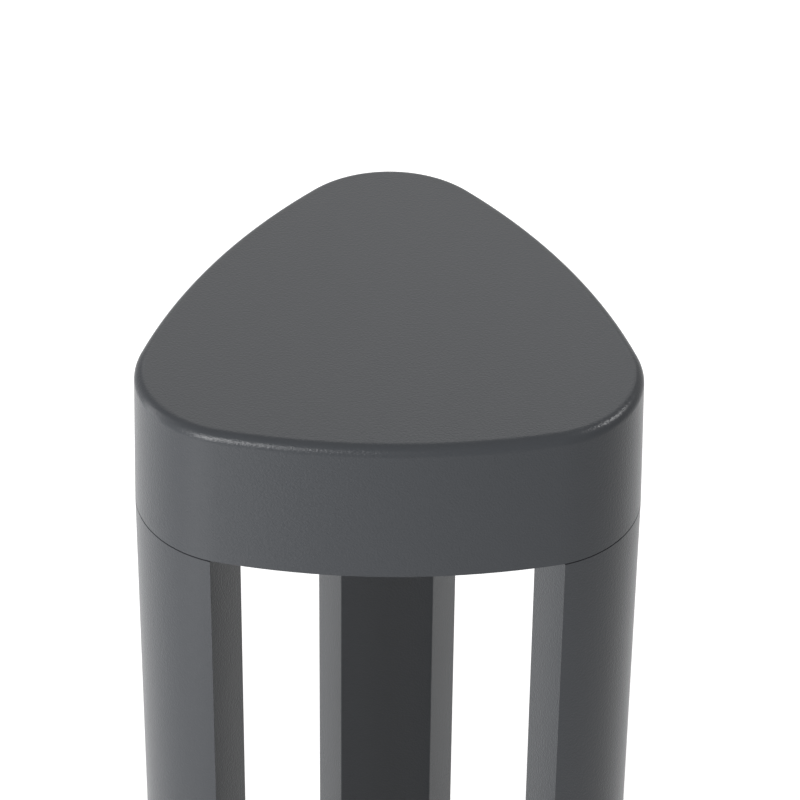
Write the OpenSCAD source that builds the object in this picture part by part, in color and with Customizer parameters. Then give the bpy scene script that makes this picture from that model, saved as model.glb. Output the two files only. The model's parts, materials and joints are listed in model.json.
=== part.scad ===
// Path light: a cast rounded-triangle head carried on three extruded legs over a ground base.
// The origin is on the three-fold axis at the underside of the base, +Z up, one leg towards +Y.
// Each casting keeps the same plan: three corner arcs joined by three bowed side arcs.

/* [Overall] */
// Height from the ground to the top of the head
total_h = 600; // [420:10:1000]
// Width across the two front corners, at the rim of the head
head_w = 160; // [144:1:220]
// Radius of the three corners in plan
corner_r = 36.5; // [30:0.5:42]
// Half of the angle that each bowed side turns through
side_bow = 13.7; // [10:0.1:18]
// Lean of the cast walls, for drawing them from the die
draft = 1.3; // [0.5:0.1:2.5]

/* [Head cover] */
// Height of the head from its rim to its top
head_h = 49; // [46:1:80]
// Rounding between the top and the wall
edge_r = 3.5; // [1:0.5:6]
// Thickness of the cast top
top_t = 3; // [2:0.5:5]
// Thickness of the cast wall above the tray
wall_t = 3.6; // [3:0.1:5]
// Thickness of the rim that hides the edge of the tray
rim_t = 2.2; // [1.5:0.1:2.6]
// Rounding between the ceiling and the wall, inside
inner_r = 2; // [1:0.5:3]
// Diameter of the screw bosses where they meet the tray
boss_d = 8.6; // [8:0.1:10]
// Widening of a boss between the tray and the ceiling
boss_taper = 1.6; // [1:0.2:2.4]
// Thickness of the ribs
rib_t = 2.4; // [1.6:0.2:3.2]
// Depth of the ribs below the ceiling
rib_h = 6; // [3:0.5:9]

/* [Legs] */
// Width of a leg across the outer ends of its flanks
leg_w_out = 48.4; // [44:0.2:50]
// Width of the flat face that looks to the middle
leg_w_in = 32.2; // [30:0.2:36]
// Depth of a leg from its outer crown to its inner face
leg_depth = 24.2; // [22:0.1:27]
// Wall of the leg extrusion
leg_wall = 2.5; // [2.2:0.1:3]
// How far the leg stands back from the rim of the head
leg_setback = 0; // [0:0.05:0.4]
// Rounding of the two long edges of the inner face
leg_edge_r = 0.6; // [0.3:0.1:1.5]
// Distance of the screw ports from the middle plane of the leg
port_x = 15.4; // [15:0.1:15.8]
// Distance of the screw ports behind the crown of the leg
port_back = 13.1; // [12.6:0.1:13.4]
// Diameter of the round wall of a screw port
port_boss_d = 8; // [7:0.1:8.6]
// Thickness of the rubber seal at each end of a leg
seal_t = 0.5; // [0.3:0.1:1.5]
// How far the edge of the seal stands back from the leg
seal_back = 0.1; // [0:0.1:1.2]

/* [Light tray] */
// Thickness of the tray
tray_t = 4; // [3.5:0.5:6]
// Gap between the tray and the rim of the cover
tray_gap = 0.3; // [0.2:0.1:0.6]
// Height of the light chamber above the underside of the tray
chamber_h = 12; // [10:0.5:16]
// Wall of the light chamber
dish_t = 3; // [2:0.5:4]
// Gap between the collar of the diffuser and the pads under the cover bosses
collar_gap = 1.7; // [1.3:0.1:3]
// Width of the collar, from its edge to the light chamber
collar_w = 11.5; // [11:0.5:13]
// Height of the collar
collar_h = 6.5; // [5.5:0.5:8]
// Thickness of the rubber between cover and tray
gasket_t = 1.2; // [0.8:0.1:2]
// Width of the rubber between cover and tray
gasket_w = 2.2; // [1.6:0.1:2.4]

/* [Diffuser] */
// How far the flange of the diffuser stands back from the edge of the collar
flange_back = 7.2; // [6.8:0.1:7.8]
// Thickness of the opal plastic
diffuser_t = 2; // [1.5:0.5:2.5]
// Depth of the dome of the diffuser below the tray
dome_h = 6; // [4:0.5:12]
// Thickness of the diffuser seal
lens_seal_t = 1.5; // [1:0.1:1.9]
// Width of the diffuser seal
lens_seal_w = 3; // [2:0.1:3.2]
// Thickness of the retaining ring
ring_t = 2.5; // [2:0.5:4]
// How far the retaining ring reaches past the collar
ring_over = 0.5; // [0:0.1:1]

/* [Electrical] */
// Gap between the circuit board and the wall of the light chamber
board_gap = 4; // [3:0.5:8]
// Thickness of the circuit board
board_t = 1.6; // [1:0.2:2.4]
// Number of lamps on the outer circle of the board
outer_leds = 12; // [6:1:18]
// Number of lamps on the inner circle of the board
inner_leds = 6; // [3:1:8]
// Edge of one lamp package
led_w = 3.5; // [2:0.5:5]
// Height of one lamp package
led_h = 0.9; // [0.6:0.1:1.5]
// Length of the driver between its fixing tabs
driver_l = 62; // [54:1:64]
// Width of the driver
driver_w = 33; // [26:1:34]
// Height of the driver
driver_h = 20; // [14:1:24]
// Length of a fixing tab of the driver
tab_l = 8; // [7:0.5:9]
// Width of a fixing tab
tab_w = 12; // [9:0.5:14]
// Thickness of a fixing tab
tab_t = 2; // [1.5:0.5:3]
// Rounding of the upright edges of the driver
case_r = 3; // [1.5:0.5:5]
// Depth of the lid of the driver
lid_h = 4; // [2:0.5:8]
// Width and depth of the parting line under the lid
lid_line = 0.6; // [0.3:0.1:1]
// Length of the terminal block
terminal_l = 30; // [27:1:34]
// Width of the terminal block
terminal_w = 15; // [12:1:17]
// Height of the terminal block
terminal_h = 13; // [11:1:16]
// Diameter of the screw wells on top of the block
well_d = 4; // [3:0.2:4.4]
// Depth of the screw wells
well_depth = 5; // [4:0.5:5.5]
// Diameter of the wire entries
entry_d = 3.6; // [2.4:0.2:3.8]
// Height of the wire entries above the foot of the block
entry_z = 4; // [3:0.5:4.5]
// Diameter of the leads inside the head
lead_d = 4.2; // [3:0.2:5]

/* [Base] */
// Height of the base casting
base_h = 36; // [35:1:60]
// Thickness of its top, under the legs
base_top_t = 4; // [3.5:0.5:6]
// Thickness of its wall
base_wall = 3; // [2.5:0.1:4]
// Rounding of its upper edge
base_edge_r = 0.6; // [0.3:0.1:1]
// Thickness of the mounting plate
plate_t = 4; // [3:0.5:5]
// Gap between the mounting plate and the base casting
plate_gap = 0.5; // [0.3:0.1:1]
// Diameter of the circle that the ground bolts stand on
bolt_circle_d = 90; // [84:1:94]
// Diameter of the holes for the ground bolts
bolt_hole_d = 9; // [6:0.5:11]
// Diameter of the cable opening in the plate
cable_hole_d = 50; // [30:1:60]
// Width of the upright lugs of the plate
lug_w = 20; // [16:1:30]
// Height of the upright lugs
lug_h = 23; // [20:1:26]
// Inside radius at the foot of a lug
bend_r = 3; // [1:0.5:5]
// Height of the side screws above the ground
side_screw_z = 15; // [13:0.5:17]

/* [Cable gland] */
// Diameter of the thread that screws into the cable box of the base
gland_d = 16; // [14:0.5:17]
// Diameter of the way through for the cable
gland_bore_d = 10; // [7:0.5:10.5]
// Width of the gland across its flats
gland_flats = 19; // [18:0.5:20]
// Height of the hexagon of the body
gland_hex_h = 5; // [4:0.5:6]
// Length of the dome nut
gland_nut_h = 13; // [11:0.5:15]
// Height of the gland above the ground
gland_z = 17; // [16:0.5:20]
// Outer width of the cable box under the rear leg
box_w = 22.8; // [21:0.2:23.4]
// Wall of the cable box
box_wall = 2.2; // [1.6:0.1:2.4]
// Thickness of the tapped front wall of the cable box
box_front = 5; // [4.5:0.5:6]
// Height of the underside of the cable box above the ground
box_z = 6; // [5:0.5:7]
// Radius of the cable hole in the tray
grommet_hole_r = 6; // [5:0.5:6.5]

/* [Screws] */
// Diameter of the leg, cover and side screws
screw_d = 4; // [3.5:0.1:4.2]
// Diameter of their heads
head_d = 7; // [6.6:0.1:7.4]
// Height of the pan heads
pan_h = 2.6; // [2:0.1:3.2]
// Diameter of the ring, board and driver screws
small_d = 3; // [2.5:0.1:3.2]
// Diameter of the small heads
small_head_d = 5.4; // [5:0.1:5.8]
// Clearance round a shank in a plain hole
screw_gap = 0.2; // [0.1:0.05:0.3]
// Clearance between a shank and its threaded hole
thread_gap = 0.05; // [0.02:0.01:0.1]
// Length of the leg screws
leg_screw_l = 18; // [12:1:30]
// Length of the cover screws
cover_screw_l = 14; // [10:1:20]

/* [Hidden] */
$fn = 96;
cut = 1;

// The plan of the castings
corner_c = (head_w / 2 - corner_r) / cos(30);
side_c = corner_c * (sin(60) / tan(side_bow) - 1 / 2);
side_r = corner_c * sin(60) / sin(side_bow) + corner_r;
corner_steps = 16;
side_steps = 10;
edge_steps = 5;

// Heights
rim_z = total_h - head_h;
tray_z = rim_z + tray_t;
ledge_z = tray_z + gasket_t;
dish_z = rim_z + chamber_h + dish_t;
leg_foot_z = base_h + seal_t;
leg_l = rim_z - seal_t - leg_foot_z;

// Plan places of the legs, ports and screws
leg_crown = corner_c + corner_r - leg_setback;
leg_inner = leg_crown - leg_depth;
port_y = leg_crown - port_back;
port_d = screw_d + 2 * thread_gap;
hole_d = screw_d + 2 * screw_gap;
small_port_d = small_d + 2 * thread_gap;
tray_inset = rim_t + tray_gap;
boss_edge = 0.5;
cover_screw_r = side_reach(tray_inset) - boss_d / 2 - boss_edge;
cable_y = leg_inner + leg_depth / 2;

// Circles of the light chamber, the diffuser and the board
collar_r = cover_screw_r - boss_d / 2 - collar_gap;
chamber_r = collar_r - collar_w;
flange_r = collar_r - flange_back;
ring_r = collar_r + ring_over;
ring_screw_r = (flange_r + tray_gap + collar_r) / 2;
board_r = chamber_r - board_gap;

// Places on the light chamber, seen from above
skin = 0.6;
board_z = rim_z + chamber_h - board_t;
board_screw_r = board_r - 4;
outer_led_r = board_r - 7;
inner_led_r = outer_led_r / 2;
driver_y = -14;
driver_screw_x = driver_l / 2 + tab_l / 2;
terminal_y = 24;
pole_gap = (terminal_l - 3) / 3;
tail_at = 24 * [cos(30), sin(30)];
tail_z = 10;
earth_turn = 68.5;
earth_at = (collar_r + 6.7) * [cos(earth_turn), sin(earth_turn)];
earth_d = 2.4;
tag_t = 0.8;
lead_gap = 0.3;
small_screw_l = tab_t + dish_t - 2 * skin;
small_pan_h = pan_h * 0.6;
pole_screw_h = 3;
slot_w = 0.8;
hole_end = 1;
grommet_lip = 1.2;

// Heights of the base and the gland
lug_bow = side_r - sqrt(side_r * side_r - lug_w * lug_w / 4);
lug_y = side_reach(base_wall + base_inset(lug_h)) - plate_gap - lug_bow;
bend_y = lug_y - plate_t - bend_r;
lug_foot = 3;
box_y = leg_inner - 1;
gland_thread_l = box_front - 0.3;
spigot_r = gland_d / 2 - 0.6;
spigot_wall = 0.8;
spigot_h = gland_nut_h - 6;
seat_z = gland_hex_h + 1;
nut_z = gland_hex_h + 0.3;
nut_lip = 2;
nut_dome_h = 5;
gland_seal_r = spigot_r - spigot_wall - 2 * thread_gap;
gland_way_d = gland_bore_d + 0.6;

// Colours as the finishes show them
coat = "#585b5e";
bare = "#a9abad";
rubber = "#1d1e20";
steel = "#b9bcbe";
opal = "#f2f0ea";

// Distance of the middle of a side from the axis
function side_reach(inset) = side_r - side_c - inset;

// Inset of the leaning wall of the base casting at a height
function base_inset(z) = (z - base_h) * tan(draft);

// Points of an arc whose centre lies at a distance along the direction dir
function arc(centre, dir, r, half, steps, from, to) = [
    for (k = [from:to])
        let (a = dir - half + 2 * half * k / steps)
            centre * [cos(dir), sin(dir)] + r * [cos(a), sin(a)]
];

// The rounded-triangle plan, moved in by inset
function plan(inset) = [
    for (turn = [0:120:240])
        each concat(
            arc(corner_c, 90 + turn, corner_r - inset, 60 - side_bow, corner_steps, 0, corner_steps),
            arc(-side_c, 150 + turn, side_r - inset, side_bow, side_steps, 1, side_steps - 1))
];

// Section of a rounded upper edge over a leaning wall, as [inset, z] from the top down
function round_over(z_top, r, wall, z_wall) = [
    for (k = [0:edge_steps])
        let (a = 90 - (90 - draft) * k / edge_steps,
             z = z_top - r,
             inset = wall + (z - z_wall) * tan(draft) + r / cos(draft))
            [inset - r * cos(a), z + r * sin(a)]
];

function reverse(list) = [for (k = [len(list) - 1:-1:0]) list[k]];

// Points of a small arc that rounds the corner p of a polygon between a and b
function rounded(a, p, b, r, steps = 4) =
    let (u = (a - p) / norm(a - p),
         v = (b - p) / norm(b - p),
         half = acos(u * v) / 2,
         centre = p + (u + v) / norm(u + v) * r / sin(half),
         t1 = p + u * r / tan(half) - centre,
         t2 = p + v * r / tan(half) - centre)
    [for (k = [0:steps])
        let (w = t1 * (steps - k) + t2 * k)
            centre + w / norm(w) * r];

// Four corners of the leg between its flanks, moved in by inset
flank_y = corner_c + sqrt(pow(corner_r - leg_setback, 2) - pow(leg_w_out / 2, 2));
flank_lean = atan((leg_w_out - leg_w_in) / 2 / (flank_y - leg_inner));
function wedge(inset) =
    let (y_in = leg_inner + inset,
         x_in = leg_w_in / 2 + inset * tan(flank_lean) - inset / cos(flank_lean),
         x_out = x_in + (leg_depth - inset) * tan(flank_lean))
    [[-x_out, y_in + leg_depth - inset], [-x_in, y_in], [x_in, y_in],
     [x_out, y_in + leg_depth - inset]];

// A closed shell through plan outlines, each given as [inset, z]
module loft(rings) {
    n = len(plan(0));
    last = len(rings) - 1;
    polyhedron(
        points = [for (ring = rings, p = plan(ring[0])) [p[0], p[1], ring[1]]],
        faces = concat(
            [[for (k = [n - 1:-1:0]) k]],
            [for (j = [0:last - 1], k = [0:n - 1])
                [j * n + k, j * n + (k + 1) % n, (j + 1) * n + (k + 1) % n, (j + 1) * n + k]],
            [[for (k = [0:n - 1]) last * n + k]]),
        convexity = 8);
}

// Copies at the three corners or, with turn 60, at the three sides
module each_corner(turn = 0) {
    for (a = [0:120:240]) {
        rotate(a + turn) children();
    }
}

module at_ports() {
    each_corner() {
        for (side = [-1, 1]) {
            translate([side * port_x, port_y]) children();
        }
    }
}

// Screw with a pan head that stands on z = 0
module pan_screw(d, length, wide, high) {
    difference() {
        union() {
            cylinder(d = wide, h = high);
            translate([0, 0, -length]) cylinder(d = d, h = length + high / 2);
        }
        translate([0, 0, high * 0.4]) cylinder(d = d * 0.65, h = high, $fn = 6);
    }
}

// Screw with a sunk head whose flat top is at z = 0
module sunk_screw(d, length, wide) {
    difference() {
        union() {
            translate([0, 0, -(wide - d) / 2]) cylinder(d1 = d, d2 = wide, h = (wide - d) / 2);
            translate([0, 0, -length]) cylinder(d = d, h = length - (wide - d) / 4);
        }
        translate([0, 0, -(wide - d) / 2]) cylinder(d = d * 0.6, h = wide, $fn = 6);
    }
}

// Hole for a sunk screw, with its cone opening at z = 0
module sunk_hole(d, length, wide) {
    translate([0, 0, -length]) cylinder(d = d + 2 * screw_gap, h = length + cut);
    translate([0, 0, -(wide - d) / 2 - cut / 2])
        cylinder(d1 = d - cut + 2 * screw_gap, d2 = wide + cut + 2 * screw_gap, h = (wide - d) / 2 + cut);
}

// Round tube along a list of points; up is square to no stretch of it
module tube(points, d, up) {
    sides = 8;
    last = len(points) - 1;
    rings = [
        for (i = [0:last])
            let (t = points[min(i + 1, last)] - points[max(i - 1, 0)],
                 u = cross(t, up) / norm(cross(t, up)),
                 v = cross(u, t) / norm(t))
            for (k = [0:sides - 1])
                points[i] + d / 2 * (u * cos(k * 360 / sides) + v * sin(k * 360 / sides))
    ];
    polyhedron(
        points = rings,
        faces = concat(
            [[for (k = [sides - 1:-1:0]) k]],
            [for (i = [0:last - 1], k = [0:sides - 1])
                [i * sides + k, i * sides + (k + 1) % sides,
                 (i + 1) * sides + (k + 1) % sides, (i + 1) * sides + k]],
            [[for (k = [0:sides - 1]) last * sides + k]]),
        convexity = 4);
}

// Points along a smooth curve that is pulled by four corners
function curve(a, b, c, d, steps) = [
    for (k = [0:steps])
        let (t = k / steps, s = 1 - t)
            s * s * s * a + 3 * s * s * t * b + 3 * s * t * t * c + t * t * t * d
];

// Outline of a box with rounded corners, about the origin
function box_plan(l, w, r) =
    let (c = [[-l / 2, -w / 2], [l / 2, -w / 2], [l / 2, w / 2], [-l / 2, w / 2]])
    [for (k = [0:3]) each rounded(c[(k + 3) % 4], c[k], c[(k + 1) % 4], r)];

// Plan of a leg between its two flanks and the round corner of the head
module leg_profile(inset) {
    w = wedge(inset);
    intersection() {
        translate([0, corner_c]) circle(r = corner_r - leg_setback - inset, $fn = 180);
        polygon(concat([w[0]], rounded(w[0], w[1], w[2], leg_edge_r),
            rounded(w[1], w[2], w[3], leg_edge_r), [w[3]]));
    }
}

// Hollow section of the leg extrusion, with its two round screw ports
module leg_section(back, bore) {
    difference() {
        leg_profile(back);
        difference() {
            leg_profile(leg_wall);
            for (side = [-1, 1]) {
                translate([side * port_x, port_y]) circle(d = port_boss_d);
            }
        }
        for (side = [-1, 1]) {
            translate([side * port_x, port_y]) circle(d = bore);
        }
    }
}

module head_cover() {
    color(coat)
    difference() {
        union() {
            loft(concat(
                round_over(total_h, edge_r, 0, rim_z),
                [[0, rim_z], [rim_t, rim_z], [rim_t, ledge_z],
                 [wall_t + (ledge_z - rim_z) * tan(draft), ledge_z]],
                reverse(round_over(total_h - top_t, inner_r, wall_t, rim_z))));
            // Tapered screw bosses that hang from the ceiling to the gasket
            each_corner(60) {
                translate([0, cover_screw_r, ledge_z])
                    cylinder(d1 = boss_d, d2 = boss_d + boss_taper, h = total_h - top_t / 2 - ledge_z);
            }
            // Ribs across the ceiling, from the middle to the bosses and to the corners
            for (a = [0:60:300]) {
                reach = a % 120 == 0 ? leg_inner : cover_screw_r;
                rotate(a)
                    translate([-rib_t / 2, 0, total_h - top_t - rib_h])
                        cube([rib_t, reach, rib_h + top_t / 2]);
            }
        }
        each_corner(60) {
            translate([0, cover_screw_r, rim_z]) cylinder(d = port_d, h = cover_screw_l + hole_end);
        }
    }
}

module light_tray() {
    color(coat)
    difference() {
        union() {
            translate([0, 0, rim_z]) linear_extrude(tray_t) polygon(plan(tray_inset));
            translate([0, 0, rim_z]) cylinder(r = collar_r, h = collar_h);
            translate([0, 0, rim_z]) cylinder(r = chamber_r + dish_t, h = chamber_h + dish_t);
        }
        translate([0, 0, rim_z - cut]) cylinder(r = chamber_r, h = chamber_h + cut);
        translate([0, 0, rim_z - cut])
            cylinder(r = flange_r + tray_gap, h = diffuser_t + lens_seal_t + cut);
        at_ports() {
            translate([0, 0, rim_z - cut]) cylinder(d = hole_d, h = tray_t + 2 * cut);
        }
        each_corner(60) {
            translate([0, cover_screw_r, rim_z])
                rotate([180, 0, 0]) sunk_hole(screw_d, tray_t + cut, head_d);
        }
        // Blind threaded holes for the ring, the board, the driver, the terminals and the earth
        each_corner() {
            translate([0, ring_screw_r, rim_z - cut])
                cylinder(d = small_port_d, h = collar_h - skin + cut);
            translate([0, board_screw_r, rim_z + chamber_h - cut])
                cylinder(d = small_port_d, h = dish_t - skin + cut);
        }
        at_small_screws() {
            translate([0, 0, skin - dish_t]) cylinder(d = small_port_d, h = dish_t);
        }
        translate([earth_at[0], earth_at[1], rim_z + skin]) cylinder(d = port_d, h = tray_t);
        // Ways through for the tail of the board and for the supply cable out of the rear leg
        translate([tail_at[0], tail_at[1], rim_z + chamber_h - cut])
            cylinder(d = lead_d + 1, h = dish_t + 2 * cut);
        translate([0, cable_y, rim_z - cut]) cylinder(r = grommet_hole_r, h = tray_t + 2 * cut);
    }
}

// Rubber frame between the tray and the cover, with a pad under each boss
module head_gasket() {
    color(rubber)
    translate([0, 0, tray_z])
    linear_extrude(gasket_t)
    difference() {
        union() {
            difference() {
                polygon(plan(tray_inset));
                polygon(plan(tray_inset + gasket_w));
            }
            each_corner(60) {
                translate([0, cover_screw_r]) circle(d = boss_d);
            }
        }
        each_corner(60) {
            translate([0, cover_screw_r]) circle(d = hole_d);
        }
    }
}

module leg() {
    color(coat)
    translate([0, 0, leg_foot_z]) linear_extrude(leg_l) leg_section(0, port_d);
}

module leg_rear() {
    leg();
}

module leg_left() {
    rotate(120) leg();
}

module leg_right() {
    rotate(240) leg();
}

// Thin rubber seal, set back from the leg all round
module leg_seal(z) {
    color(rubber)
    translate([0, 0, z]) linear_extrude(seal_t) leg_section(seal_back, hole_d);
}

module top_seal_rear() {
    leg_seal(rim_z - seal_t);
}

module top_seal_left() {
    rotate(120) leg_seal(rim_z - seal_t);
}

module top_seal_right() {
    rotate(240) leg_seal(rim_z - seal_t);
}

module bottom_seal_rear() {
    leg_seal(base_h);
}

module bottom_seal_left() {
    rotate(120) leg_seal(base_h);
}

module bottom_seal_right() {
    rotate(240) leg_seal(base_h);
}

// Opal cover: a flat flange and a shallow dome of even thickness
module diffuser() {
    dome_r = chamber_r - tray_gap;
    ball_r = (dome_r * dome_r + dome_h * dome_h) / (2 * dome_h);
    steps = 10;
    color(opal)
    translate([0, 0, rim_z])
    rotate_extrude()
    polygon(concat(
        [for (k = [0:steps])
            let (r = dome_r * k / steps)
                [r, ball_r - dome_h - sqrt(ball_r * ball_r - r * r)]],
        [[flange_r, 0], [flange_r, diffuser_t]],
        [for (k = [steps:-1:0])
            let (r = (dome_r - diffuser_t) * k / steps)
                [r, diffuser_t + ball_r - dome_h - sqrt(ball_r * ball_r - r * r)]]));
}

module diffuser_seal() {
    color(rubber)
    translate([0, 0, rim_z + diffuser_t])
    difference() {
        cylinder(r = flange_r, h = lens_seal_t);
        translate([0, 0, -cut]) cylinder(r = flange_r - lens_seal_w, h = lens_seal_t + 2 * cut);
    }
}

module diffuser_ring() {
    bevel = ring_t * 0.4;
    color(coat)
    difference() {
        translate([0, 0, rim_z - ring_t])
        rotate_extrude()
        polygon([
            [chamber_r + bevel, 0], [ring_r - bevel, 0], [ring_r, bevel],
            [ring_r, ring_t], [chamber_r, ring_t], [chamber_r, bevel]]);
        each_corner() {
            translate([0, ring_screw_r, rim_z - ring_t])
                rotate([180, 0, 0]) sunk_hole(small_d, ring_t + cut, small_head_d);
        }
    }
}

module ring_screws() {
    color(steel)
    each_corner() {
        translate([0, ring_screw_r, rim_z - ring_t])
            rotate([180, 0, 0]) sunk_screw(small_d, ring_t + collar_h - 2 * skin - 1, small_head_d);
    }
}

// Round metal-core board, screwed up against the top of the light chamber
module led_board() {
    color("#f4f4f0")
    translate([0, 0, board_z])
    difference() {
        cylinder(r = board_r, h = board_t);
        each_corner() {
            translate([0, board_screw_r, -cut])
                cylinder(d = small_d + 2 * screw_gap, h = board_t + 2 * cut);
        }
    }
}

module leds() {
    rows = [[outer_leds, outer_led_r], [inner_leds, inner_led_r]];
    color("#e9d873")
    for (row = rows, k = [0:row[0] - 1]) {
        rotate(360 * (k + 0.5) / row[0])
            translate([row[1] - led_w / 2, -led_w / 2, board_z - led_h])
                cube([led_w, led_w, led_h]);
    }
}

module board_screws() {
    color(steel)
    each_corner() {
        translate([0, board_screw_r, board_z])
            rotate([180, 0, 0]) pan_screw(small_d, board_t + dish_t - 2 * skin, small_head_d, small_pan_h);
    }
}

// The two tabs of the driver and the floor of the terminal block share one screw
module at_small_screws() {
    for (side = [-1, 1]) {
        translate([side * driver_screw_x, driver_y, dish_z]) children();
    }
    translate([pole_gap / 2, terminal_y, dish_z]) children();
}

// Potted driver: a sealed case with a fixing tab at each end
module led_driver() {
    color("#e6e7e8")
    translate([0, driver_y, dish_z])
    difference() {
        union() {
            linear_extrude(driver_h) polygon(box_plan(driver_l, driver_w, case_r));
            linear_extrude(tab_t) polygon(box_plan(driver_l + 2 * tab_l, tab_w, case_r));
        }
        for (side = [-1, 1]) {
            translate([side * driver_screw_x, 0, -cut])
                cylinder(d = small_d + 2 * screw_gap, h = tab_t + 2 * cut);
        }
        // Parting line of the lid
        translate([0, 0, driver_h - lid_h])
        linear_extrude(lid_line)
        difference() {
            polygon(box_plan(driver_l + cut, driver_w + cut, case_r));
            polygon(box_plan(driver_l - 2 * lid_line, driver_w - 2 * lid_line, case_r - lid_line));
        }
    }
}

module driver_screws() {
    color(steel)
    at_small_screws() {
        translate([0, 0, tab_t]) pan_screw(small_d, small_screw_l, small_head_d, small_pan_h);
    }
}

// Three-pole block, with screw wells on top and wire entries at the back
module terminal_block() {
    color("#f0efe9")
    translate([0, terminal_y, dish_z])
    difference() {
        linear_extrude(terminal_h) polygon(box_plan(terminal_l, terminal_w, case_r / 2));
        at_poles() {
            translate([0, 0, terminal_h - well_depth]) cylinder(d = well_d, h = well_depth + cut);
        }
        for (pole = [-1:1]) {
            translate([pole * pole_gap, 0, entry_z])
                rotate([-90, 0, 0]) cylinder(d = entry_d, h = terminal_w);
        }
        translate([pole_gap / 2, 0, -cut]) cylinder(d = small_d + 2 * screw_gap, h = tab_t + 2 * cut);
        translate([pole_gap / 2, 0, tab_t])
            cylinder(d = small_head_d + 2 * screw_gap, h = terminal_h);
    }
}

module at_poles() {
    for (pole = [-1:1], row = [-1, 1]) {
        translate([pole * pole_gap, row * terminal_w * 0.3, 0]) children();
    }
}

module terminal_screws() {
    color(steel)
    translate([0, terminal_y, dish_z + terminal_h - well_depth])
    at_poles() {
        difference() {
            cylinder(d = well_d - 2 * screw_gap, h = pole_screw_h);
            translate([-well_d / 2, -slot_w / 2, pole_screw_h - slot_w])
                cube([well_d, slot_w, 2 * slot_w]);
        }
    }
}

module earth_screw() {
    color(steel)
    translate([earth_at[0], earth_at[1], tray_z + tag_t])
        pan_screw(screw_d, tray_t + tag_t - 2 * skin, head_d, pan_h);
}

module cover_screws() {
    color(steel)
    each_corner(60) {
        translate([0, cover_screw_r, rim_z])
            rotate([180, 0, 0]) sunk_screw(screw_d, cover_screw_l, head_d);
    }
}

module leg_screws_top() {
    color(steel)
    at_ports() {
        translate([0, 0, tray_z]) pan_screw(screw_d, leg_screw_l, head_d, pan_h);
    }
}

module leg_screws_bottom() {
    color(steel)
    at_ports() {
        translate([0, 0, base_h - base_top_t])
            rotate([180, 0, 0]) pan_screw(screw_d, leg_screw_l, head_d, pan_h);
    }
}

module base_casting() {
    color(coat)
    difference() {
        union() {
            loft(concat(
                round_over(base_h, base_edge_r, 0, base_h),
                [[base_inset(0), 0], [base_wall + base_inset(0), 0]],
                reverse(round_over(base_h - base_top_t, inner_r, base_wall, base_h))));
            // Cable box under the rear leg, open to the hollow of the leg
            intersection() {
                translate([-box_w / 2, box_y, box_z])
                    cube([box_w, leg_depth + 2 * cut, base_h - box_z - base_top_t / 2]);
                translate([0, corner_c, 0]) cylinder(r = corner_r - base_wall / 2, h = base_h);
            }
            // Ribs under the top, from the middle to each side
            each_corner(60) {
                translate([-rib_t / 2, 0, base_h - base_top_t - rib_h])
                    cube([rib_t, side_reach(base_wall / 2), rib_h + base_top_t / 2]);
            }
        }
        at_ports() {
            translate([0, 0, base_h - base_top_t - cut]) cylinder(d = hole_d, h = base_top_t + 2 * cut);
        }
        intersection() {
            translate([box_wall - box_w / 2, box_y + box_front, box_z + box_wall])
                cube([box_w - 2 * box_wall, leg_depth, base_h]);
            translate([0, corner_c, 0]) cylinder(r = corner_r - base_wall - hole_end, h = base_h + cut);
        }
        at_gland() {
            translate([0, 0, -box_front - cut])
                cylinder(d = gland_d + 2 * thread_gap, h = box_front + 2 * cut);
        }
        at_side_screws() {
            sunk_hole(screw_d, base_wall + cut, head_d);
        }
    }
}

// Middle of each side of the base, just under the surface, with +Z looking out
module at_side_screws() {
    each_corner(60) {
        translate([0, side_reach(base_inset(side_screw_z)) - 0.4, side_screw_z])
            rotate([-90, 0, 0]) children();
    }
}

// Ground plate with three lugs bent up from the same sheet
module mounting_plate() {
    color(bare)
    difference() {
        union() {
            difference() {
                linear_extrude(plate_t)
                    polygon(plan(base_wall + base_inset(plate_t) + plate_gap));
                each_corner(60) {
                    translate([-lug_w / 2 - bend_r, bend_y - cut, -cut])
                        cube([lug_w + 2 * bend_r, lug_y, plate_t + 2 * cut]);
                }
            }
            each_corner(60) {
                translate([-lug_w / 2, bend_y, plate_t + bend_r])
                    rotate([90, 0, 90]) linear_extrude(lug_w) lug_section();
            }
        }
        translate([0, 0, -cut]) cylinder(d = cable_hole_d, h = plate_t + 2 * cut);
        each_corner(60) {
            translate([0, bolt_circle_d / 2, -cut]) cylinder(d = bolt_hole_d, h = plate_t + 2 * cut);
            translate([0, bend_y, side_screw_z]) rotate([-90, 0, 0]) cylinder(d = port_d, h = lug_y);
        }
    }
}

// Section across a lug: a short flat, the bend and the upright
module lug_section() {
    difference() {
        circle(r = bend_r + plate_t);
        circle(r = bend_r);
        translate([-2 * lug_h, -lug_h]) square([2 * lug_h, 2 * lug_h]);
        translate([-lug_h, 0]) square([2 * lug_h, lug_h]);
    }
    translate([-lug_foot, -bend_r - plate_t]) square([lug_foot, plate_t]);
    translate([bend_r, 0]) square([plate_t, lug_h - bend_r - plate_t]);
}

module base_screws() {
    color(steel)
    at_side_screws() {
        sunk_screw(screw_d, base_wall + plate_gap + plate_t + 1.5, head_d);
    }
}

// Face of the cable box where the gland seats, with +Z looking to the middle
module at_gland() {
    translate([0, box_y, gland_z]) rotate([90, 0, 0]) children();
}

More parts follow.
